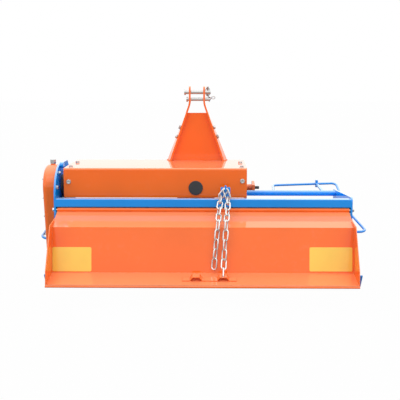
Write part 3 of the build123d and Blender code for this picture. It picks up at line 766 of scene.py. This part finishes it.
# ---------------------------------------------------------------- sub-assemblies
@dataclass
class Tailgate:
    """The hinged rear gate: blank plates, rolled hem and seams."""

    palette: Palette
    welds: Welds
    half: float = 0.643
    plate_thick: float = 0.0008
    plate_round: float = 0.006
    hem_r: float = 0.0042

    def on_face(self, x: float, share: float, lift: float = 0.0) -> Vector:
        """A point on the rear face, at a share of the way down from the upper fold."""
        spot = KNEE1.lerp(KNEE2, share) + self.outwards() * lift
        return Vector((x, spot.y, spot.z))

    def outwards(self) -> Vector:
        """The way out of the rear face."""
        along = (KNEE2 - KNEE1).normalized()
        return Vector((0, along.z, -along.y))

    def bare_plate(self, name: str, low_x: float, high_x: float, top: float, low: float) -> None:
        """A blank film plate that lies on the rear face.

        Args:
            name: name of the piece.
            low_x: left edge.
            high_x: right edge.
            top: height of the upper edge.
            low: height of the lower edge.
        """
        wide, high = high_x - low_x, (top - low) * (KNEE2 - KNEE1).length / (KNEE1.z - KNEE2.z)
        plate = Piece.block(name, (-wide / 2, -high / 2, 0), (wide / 2, high / 2, self.plate_thick))
        plate.pick_edges(lambda middle, along: abs(along.z) > 0.9).bevel(self.plate_round, 4)
        plate.pick(lambda middle, normal: normal.z > 0.9).inset(0.0008, 0.0001)
        plate.mode("OBJECT")
        spot = self.on_face((low_x + high_x) / 2, (KNEE1.z - (top + low) / 2) / (KNEE1.z - KNEE2.z), 0.0001)
        x_dir, z_dir = Vector((1, 0, 0)), self.outwards()
        turn = Matrix((x_dir, z_dir.cross(x_dir), z_dir)).transposed().to_4x4()
        plate.place(Matrix.Translation(spot) @ turn).finish(self.palette.film, Body.GATE)

    def rolled_hem(self) -> None:
        """The edge of the lip, rolled tight, in a darker copy of the orange: painted shade."""
        hem = Piece.cylinder("gate_hem", self.hem_r, 2 * self.half, 20, -self.half)
        spot = Vector((0, LIP.y + 0.0015, LIP.z - 0.0005))
        hem.place(Matrix.Translation(spot) @ Matrix.Rotation(math.pi / 2, 4, "Y"))
        hem.soften(0.0015).finish(self.palette.hem, Body.GATE, Slot.ORANGE)

    def build(self) -> None:
        """Make everything on the gate."""
        self.rolled_hem()
        self.bare_plate("blank_plate_left", -0.638, -0.472, 0.227, 0.125)
        self.bare_plate("blank_plate_right", 0.453, 0.634, 0.229, 0.128)
        seams = []
        for side in (-1, 1):
            x = side * (self.half - 0.005)
            inner = Vector((x, 0, 0)) - self.outwards() * 0.006
            seams.append((inner + KNEE1 + Vector((0, 0, -0.004)), inner + KNEE2))
        self.welds.run("gate_cheek_welds", seams, 0.005, Body.GATE, Slot.ORANGE)


@dataclass
class Strand:
    """One strand of the lifting chain."""

    hook_y: float
    lean: float
    route: list[Vector]
    twists: tuple[float, ...]


@dataclass
class LiftChain:
    """Two strands of round links from the hook to the gate's strip."""

    palette: Palette
    wire: float = 0.0036
    bend_r: float = LINK_OUT / 2 - WIRE_R + 0.0018
    keeper: Vector = field(default_factory=lambda: Vector((0.087, -0.4450, 0.1211)))
    slack: float = 0.0011
    clear: float = 0.0003

    def link(self) -> Piece:
        """One round link in the XZ plane, long in Z."""
        deselect()
        bpy.ops.mesh.primitive_torus_add(
            major_segments=20, minor_segments=8, major_radius=self.bend_r, minor_radius=self.wire
        )
        link = Piece("link")
        link.place(Matrix.Rotation(math.pi / 2, 4, "X") @ Matrix.Rotation(math.pi / 20, 4, "Z"))
        straight = LINK_INNER / 2 + WIRE_R - self.bend_r
        for side in (-1, 1):
            link.pick(lambda middle, normal: middle.z * side > self.bend_r * 0.1)
            bpy.ops.transform.translate(value=(0, 0, side * straight))
        return link.smooth(60)

    def spot(self, start: Vector, end: Vector, twist: float) -> Matrix:
        """Place of a link whose end bars are centred on two points."""
        along = (end - start).normalized()
        across = (Vector((1, 0, 0)) - along * along.x).normalized()
        turn = Matrix((across, along.cross(across), along)).transposed().to_4x4()
        return Matrix.Translation((start + end) / 2) @ turn @ Matrix.Rotation(math.radians(twist), 4, "Z")

    def point_along(self, route: list[Vector], travel: float) -> Vector:
        """Point that lies a given travel along a route of straight runs, or past its end."""
        for start, end in zip(route, route[1:]):
            if travel <= (end - start).length or end is route[-1]:
                return start + (end - start).normalized() * travel
            travel -= (end - start).length
        return route[-1]

    def hang(self, strand: Strand) -> list[Matrix]:
        """Places of a strand's links, each resting in the end bar of the one before."""
        end_bar = LINK_INNER / 2 + WIRE_R
        along = Matrix.Rotation(math.radians(-strand.lean), 3, "Y") @ Vector((0, 0, -1))
        start = Vector((CHAIN_X, strand.hook_y, HOOK_Z)) - along * (HOOK_R + WIRE_R + self.clear)
        bar = start + along * 2 * end_bar
        spots = [self.spot(start, bar, 0)]
        route = [bar - along * WIRE_R, *strand.route]
        for index, twist in enumerate(strand.twists):
            aim = self.point_along(route, (index + 1) * (LINK_INNER - self.slack) + WIRE_R)
            turn = (aim - bar).normalized()
            start = bar - (along + turn).normalized() * (2 * WIRE_R + self.slack)
            bar = start + turn * 2 * end_bar
            along = turn
            spots.append(self.spot(start, bar, twist))
        return spots

    def strands(self) -> list[Strand]:
        """The free strand and the one that is held in the right hump."""
        left = [
            Vector((0.066, KNEE1.y - 0.018, KNEE1.z + 0.024)),
            Vector((0.048, KNEE2.y - 0.011, KNEE2.z + 0.015)),
        ]
        right = [
            Vector((0.101, KNEE1.y - 0.024, KNEE1.z + 0.029)),
            Vector((0.090, KNEE2.y - 0.020, KNEE2.z + 0.051)),
            self.keeper - Vector((0, 0.0043, 0.0046)),
        ]
        return [
            Strand(-0.217, -38.0, left, (70, -15, 60, -25, 60, -38, 48, -52, 28)),
            Strand(-0.226, 20.0, right, (-70, 15, -60, 25, -62, 28, -58, 40, -25, 90)),
        ]

    def build(self) -> None:
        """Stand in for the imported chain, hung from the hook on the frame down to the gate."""
        pattern = self.link()
        links = [pattern.copy(spot) for strand in self.strands() for spot in self.hang(strand)]
        pattern.remove()
        chain = join("chain_links", links).dress(self.palette.chain)
        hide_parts("lift_chain")
        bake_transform(chain.obj)
        LOG.info("chain_links: %d faces", len(chain.obj.data.polygons))


@dataclass
class Hood:
    """Sheet over the rotor: flat under the gearbox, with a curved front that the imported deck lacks."""

    palette: Palette
    half: float = INNER_HALF - 0.0003
    rear: float = -0.1755
    rear_top: float = 0.4045
    level: float = 0.3605
    flat_end: float = 0.098
    bend_r: float = 0.150
    bend: float = 62.0
    steps: int = 14
    lip: float = 0.016
    thick: float = 0.005

    def profile(self) -> list[Vector]:
        """The middle of the sheet, from the top of its rear lip to the front."""
        points = [Vector((0, self.rear, self.rear_top)), Vector((0, self.rear, self.level))]
        for step in range(self.steps + 1):
            angle = math.radians(self.bend * step / self.steps)
            run, drop = self.bend_r * math.sin(angle), self.bend_r * (1 - math.cos(angle))
            points.append(Vector((0, self.flat_end + run, self.level - drop)))
        points.append(points[-1] + Vector((0, self.lip, -self.lip * 0.3)))
        return points

    def build(self) -> None:
        """Extrude the sheet along its profile and give it its thickness."""
        points = self.profile()
        deselect()
        bpy.ops.mesh.primitive_plane_add(size=1)
        bpy.context.object.scale = (2 * self.half, points[0].z - points[1].z, 1)
        bpy.ops.object.transform_apply(scale=True)
        sheet = Piece("rotor_hood")
        middle_z = (points[0].z + points[1].z) / 2
        sheet.place(Matrix.Translation((0, self.rear, middle_z)) @ Matrix.Rotation(math.pi / 2, 4, "X"))
        sheet.pick_edges(lambda middle, along: abs(along.x) > 0.9 and middle.z < points[1].z + 0.001)
        for start, end in zip(points[1:], points[2:]):
            bpy.ops.mesh.extrude_region_move(TRANSFORM_OT_translate={"value": end - start})
        bpy.ops.mesh.select_all(action="SELECT")
        bpy.ops.mesh.normals_make_consistent(inside=False)
        sheet.mode("OBJECT")
        wall = sheet.obj.modifiers.new("wall", "SOLIDIFY")
        wall.thickness, wall.offset = self.thick, 0
        bpy.ops.object.modifier_apply(modifier=wall.name)
        sheet.soften(0.0008, 1, 50)
        sheet.dress(self.palette.slots[Slot.BLUE])
        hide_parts("rotor_deck")
        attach(sheet.obj, Body.FRAME.value)
        LOG.info("rotor_hood: %d faces", len(sheet.obj.data.polygons))


@dataclass
class Mast:
    """Three-point mast: pins' fittings, bolts and welds."""

    palette: Palette
    bolts: Fasteners
    welds: Welds
    ear_half: float = 0.0345
    foot_half: float = 0.1355
    strap: float = 0.009
    pin_y: float = 0.213
    top_pin_z: float = 0.870
    low_pin_z: float = 0.836
    ear_foot: float = 0.816
    foot_z: float = 0.539

    def strap_side(self, height: float, side: int) -> tuple[Vector, Vector]:
        """A point on a strap's outer face at a height, and the way out of it."""
        share = (height - self.foot_z) / (self.ear_foot - self.foot_z)
        x = self.foot_half + (self.ear_half - self.foot_half) * share + self.strap / 2
        lean = math.atan2(self.foot_half - self.ear_half, self.ear_foot - self.foot_z)
        spot = Vector((CENTRE_X + side * x, self.pin_y, height))
        return spot, Vector((side * math.cos(lean), 0, math.sin(lean)))

    def linch_pin(self) -> None:
        """Linch pin with its ring, through the right end of the top pin."""
        x = CENTRE_X + 0.052
        shank = Piece.cylinder("shank", 0.0045, 0.040, 16, -0.020)
        shank.pick(lambda middle, normal: normal.z > 0.9).extrude((0, 0, 0.007), 1.35)
        shank.mode("OBJECT")
        shank.soften(0.0012)
        turn = [math.tau * step / 16 for step in range(16)]
        loop = [(0.011 * math.sin(a), 0.006, 0.002 + 0.020 * math.cos(a)) for a in turn]
        ring = Piece.wire("ring", loop, 0.0020, closed=True)
        pin = join("linch_pin", [shank, ring])
        pin.place(Matrix.Translation((x, self.pin_y, self.top_pin_z)))
        pin.finish(self.palette.slots[Slot.STEEL], Body.FRAME, Slot.STEEL)

    def spring_clip(self) -> None:
        """Spring clip through the right end of the lower pin."""
        start = Vector((CENTRE_X + 0.054, self.pin_y, self.low_pin_z + 0.004))
        turn = [math.pi * (0.15 + 1.7 * step / 12) for step in range(13)]
        eye = [
            start + Vector((0.025 - 0.008 * math.cos(a), -0.010, 0.004 + 0.006 * math.sin(a))) for a in turn
        ]
        legs = [start + Vector((0, 0.004, 0.008)), start + Vector((0.004, -0.008, -0.016))]
        clip = Piece.wire("spring_clip", [legs[0], *eye[::-1], legs[1]], 0.0020)
        clip.finish(self.palette.slots[Slot.STEEL], Body.FRAME, Slot.STEEL)

    def build(self) -> None:
        """Make everything on the mast."""
        spots = [self.strap_side(height, side) for height in (0.655, 0.700) for side in (-1, 1)]
        self.bolts.fit("mast_strap_bolts", 0.010, spots, Body.FRAME)
        self.linch_pin()
        self.spring_clip()
        seams = []
        for side in (-1, 1):
            rear = CENTRE_X + side * (self.foot_half - 0.007 + self.strap / 2 + 0.001)
            front = rear + side * 0.0125
            height = self.foot_z + 0.001
            seams.append((Vector((rear, 0.190, height)), Vector((front, 0.234, height))))
        self.welds.run("mast_foot_welds", seams, 0.007, Body.FRAME, Slot.ORANGE)


@dataclass
class BoxBeam:
    """The box over the gearbox: its bolts."""

    bolts: Fasteners
    rear: float = -0.140
    top: float = 0.539
    left: float = -0.625
    right: float = 0.196

    def build(self) -> None:
        """Make the fixings of the box."""
        back, up = Vector((0, -1, 0)), Vector((0, 0, 1))
        spots = [
            (Vector((self.left + 0.022, self.rear, 0.478)), back),
            (Vector((self.right - 0.020, self.rear, 0.482)), back),
        ]
        for y in (-0.095, 0.085):
            spots.append((Vector((self.left + 0.026, y, self.top)), up))
            spots.append((Vector((self.right - 0.022, y, self.top)), up))
        self.bolts.fit("box_bolts", 0.010, spots, Body.FRAME)


@dataclass
class ChainCase:
    """The chain case's joint bolts."""

    bolts: Fasteners
    face_x: float = -0.725
    top_r: float = 0.098
    low_r: float = 0.092
    margin: float = 0.027
    spacing: float = 0.085

    def rim(self) -> list[Vector]:
        """Evenly spaced points along the middle of the flange."""
        top = Vector((0, DRIVE_Y, DRIVE_Z))
        low = Vector((0, 0, ROTOR_Z))
        axis = (top - low).normalized()
        side = Vector((0, axis.z, -axis.y))
        lean = math.asin((self.top_r - self.low_r) / (top - low).length)
        points: list[Vector] = []
        for centre, radius, start, sweep in (
            (top, self.top_r - self.margin, -lean, math.pi + 2 * lean),
            (low, self.low_r - self.margin, math.pi + lean, math.pi - 2 * lean),
        ):
            count = 24
            for step in range(count + 1):
                angle = start + sweep * step / count
                points.append(centre + side * radius * math.cos(angle) + axis * radius * math.sin(angle))
        points.append(points[0])
        lengths = [(b - a).length for a, b in zip(points, points[1:])]
        total = sum(lengths)
        count = round(total / self.spacing)
        spots = []
        for index in range(count):
            ahead = total * index / count
            for start, end, length in zip(points, points[1:], lengths):
                if ahead <= length:
                    spots.append(start.lerp(end, ahead / length))
                    break
                ahead -= length
        return spots

    def build(self) -> None:
        """Make the fixings of the case."""
        out = Vector((-1, 0, 0))
        spots = [(Vector((self.face_x, spot.y, spot.z)), out) for spot in self.rim()]
        self.bolts.fit("chain_cover_bolts", 0.0055, spots, Body.FRAME)


@dataclass
class Rotor:
    """The tined rotor's bolts."""

    bolts: Fasteners
    flanges: int = 6
    flange_half: float = 0.560
    flange: float = 0.008
    tine: float = 0.008
    sets: int = 3
    stagger: float = 24.0
    bolt_r: float = 0.074
    bolt_apart: float = 0.013

    def build(self) -> None:
        """Bolt every tine to its flange, with two bolts."""
        step = 2 * self.flange_half / (self.flanges - 1)
        spots = []
        for lean in (-1, 1):
            for index in range(self.flanges):
                if lean * (index - (self.flanges - 1) / 2) >= (self.flanges - 1) / 2:
                    continue
                x = -self.flange_half + index * step + lean * (self.flange / 2 + self.tine)
                for turn in range(self.sets):
                    between = 0 if lean < 0 else 180 / self.sets
                    degrees = index * self.stagger + turn * 360 / self.sets + between
                    spin = Matrix.Rotation(math.radians(degrees), 3, "X")
                    for y in (-self.bolt_apart, self.bolt_apart):
                        spot = spin @ Vector((0, y, self.bolt_r)) + Vector((x, 0, ROTOR_Z))
                        spots.append((spot, Vector((lean, 0, 0))))
        self.bolts.fit("tine_bolts", 0.009, spots, Body.ROTOR)


@dataclass
class SideFrame:
    """Bolts on the side plates, skids and bearing housing."""

    bolts: Fasteners
    housing_x: float = OUTER_HALF + 0.010
    housing_r: float = 0.053
    web: float = 0.006

    def build(self) -> None:
        """Make the fixings of the sides."""
        spots = []
        for turn in range(4):
            angle = math.tau * (turn + 0.5) / 4
            y, z = self.housing_r * math.cos(angle), self.housing_r * math.sin(angle)
            spot = Vector((self.housing_x, y, ROTOR_Z + z))
            spots.append((spot, Vector((1, 0, 0))))
        for side in (-1, 1):
            for y in (-0.085, 0.075):
                spots.append((Vector((side * (OUTER_HALF + self.web), y, 0.058)), Vector((side, 0, 0))))
        self.bolts.fit("side_bolts", 0.009, spots, Body.FRAME)
        inner = []
        for y, z in ((-0.120, 0.515), (-0.185, 0.458), (-0.190, 0.330)):
            inner.append((Vector((-INNER_HALF, y, z)), Vector((1, 0, 0))))
        for side in (-1, 1):
            inner.append((Vector((side * OUTER_HALF, HINGE_Y + 0.002, HINGE_Z)), Vector((side, 0, 0))))
        self.bolts.fit("left_plate_bolts", 0.010, inner, Body.FRAME)


@dataclass
class Gearbox:
    """Bolts of the gearbox's input flange."""

    bolts: Fasteners
    front: float = 0.096
    ring_r: float = 0.066
    squash: float = 0.72

    def build(self) -> None:
        """Make the fixings of the gearbox."""
        spots = []
        for turn in range(6):
            angle = math.tau * (turn + 0.5) / 6
            x, z = self.ring_r * math.cos(angle), self.ring_r * math.sin(angle) * self.squash
            spot = Vector((CENTRE_X + x, self.front, DRIVE_Z + z))
            spots.append((spot, Vector((0, 1, 0))))
        self.bolts.fit("gearbox_bolts", 0.008, spots, Body.FRAME)


# ---------------------------------------------------------------- studio
@dataclass
class Studio:
    """Pale floor, soft light and the camera."""

    horizon: float = 0.68
    zenith: float = 2.05
    mirrored: float = 1.4
    floor_grey: float = 0.28
    floor_glow: float = 0.985
    floor_mirror: float = 0.15
    focal: float = 70.2
    camera_at: tuple[float, float, float] = (0.036, -3.600, 0.932)
    pitch: float = 8.80
    yaw: float = 0.823

    def world(self) -> None:
        """A cloudy sky, brighter overhead, that the camera and mirrors see as white."""
        world = bpy.data.worlds.new("studio_world")
        bpy.context.scene.world = world
        world.use_nodes = True
        tree = Tree.of(world.node_tree)
        background = tree.nodes["Background"]
        background.inputs["Color"].default_value = (1, 1, 1, 1)
        way = tree.node("ShaderNodeTexCoord", {}, {}, "Generated")
        height = tree.node("ShaderNodeSeparateXYZ", {}, {0: way}, "Z").above(0.0, 1.0)
        cloudy = height * (self.zenith - self.horizon) + self.horizon
        seen, mirror, through = self.rays(tree)
        tree.feed(background.inputs["Strength"], cloudy.at_least(seen + (mirror + through) * self.mirrored))

    def rays(self, tree: "Tree") -> list[Signal]:
        """1 for rays from the camera, from a mirror and through glass, one signal each."""
        ray = tree.nodes.new("ShaderNodeLightPath")
        names = ("Is Camera Ray", "Is Glossy Ray", "Is Transmission Ray")
        return [Signal(tree, ray.outputs[name]) for name in names]

    def floor(self) -> None:
        """A pale floor that keeps the object's shadow."""
        deselect()
        bpy.ops.mesh.primitive_plane_add(size=60)
        floor = Piece("studio_floor")
        material = bpy.data.materials.new("pale_floor")
        material.use_nodes = True
        tree = Tree.of(material.node_tree)
        shader = tree.nodes["Principled BSDF"]
        shader.inputs["Base Color"].default_value = (self.floor_grey,) * 3 + (1.0,)
        shader.inputs["Roughness"].default_value = 0.9
        glow = tree.nodes.new("ShaderNodeEmission")
        glow.inputs["Color"].default_value = (1, 1, 1, 1)
        seen, mirror, through = self.rays(tree)
        share = seen * self.floor_glow + (mirror + through) * self.floor_mirror
        layers = {0: share, 1: Signal(tree, shader.outputs[0]), 2: Signal(tree, glow.outputs[0])}
        mixed = tree.node("ShaderNodeMixShader", {}, layers)
        tree.feed(tree.nodes["Material Output"].inputs["Surface"], mixed)
        floor.dress(material)

    def lamp(self, name: str, spot: tuple, aim: tuple, size: float, watts: float) -> None:
        """One soft square lamp.

        Args:
            name: the lamp's name.
            spot: where it stands.
            aim: the point it faces.
            size: length of its side.
            watts: its power.
        """
        deselect()
        bpy.ops.object.light_add(type="AREA", location=spot)
        lamp = bpy.context.object
        lamp.name = name
        lamp.data.size = size
        lamp.data.energy = watts
        lamp.rotation_euler = (Vector(aim) - Vector(spot)).to_track_quat("-Z", "Y").to_euler()

    def camera(self) -> None:
        """The camera, level across and tipped a little down."""
        deselect()
        turn = (math.radians(90 - self.pitch), 0, math.radians(self.yaw))
        bpy.ops.object.camera_add(location=self.camera_at, rotation=turn)
        camera = bpy.context.object
        camera.name = "camera"
        camera.data.lens = self.focal
        camera.data.sensor_width = 36
        camera.data.clip_end = 200
        bpy.context.scene.camera = camera

    def build(self) -> None:
        """Set up the studio."""
        bpy.context.scene.view_settings.view_transform = "Standard"
        self.world()
        self.floor()
        self.camera()
        self.lamp("key_lamp", (-1.8, -3.4, 3.4), (0, -0.1, 0.35), 2.4, 16)
        self.lamp("fill_lamp", (2.6, -2.6, 2.0), (0, 0, 0.35), 2.6, 8)


def main() -> None:
    """Build the studio, the finishes and every sub-assembly, in order."""
    logging.basicConfig(level=logging.INFO, format="%(message)s")
    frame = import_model()
    Studio().build()
    palette = Palette()
    palette.dress_nodes(frame)
    bolts = Fasteners(palette.slots[Slot.STEEL])
    welds = Welds(palette.slots[Slot.ORANGE])
    Tailgate(palette, welds).build()
    LiftChain(palette).build()
    Hood(palette).build()
    Mast(palette, bolts, welds).build()
    BoxBeam(bolts).build()
    ChainCase(bolts).build()
    SideFrame(bolts).build()
    Gearbox(bolts).build()
    Rotor(bolts).build()
    bolts.clear()
    deselect()


if __name__ == "__main__":
    main()
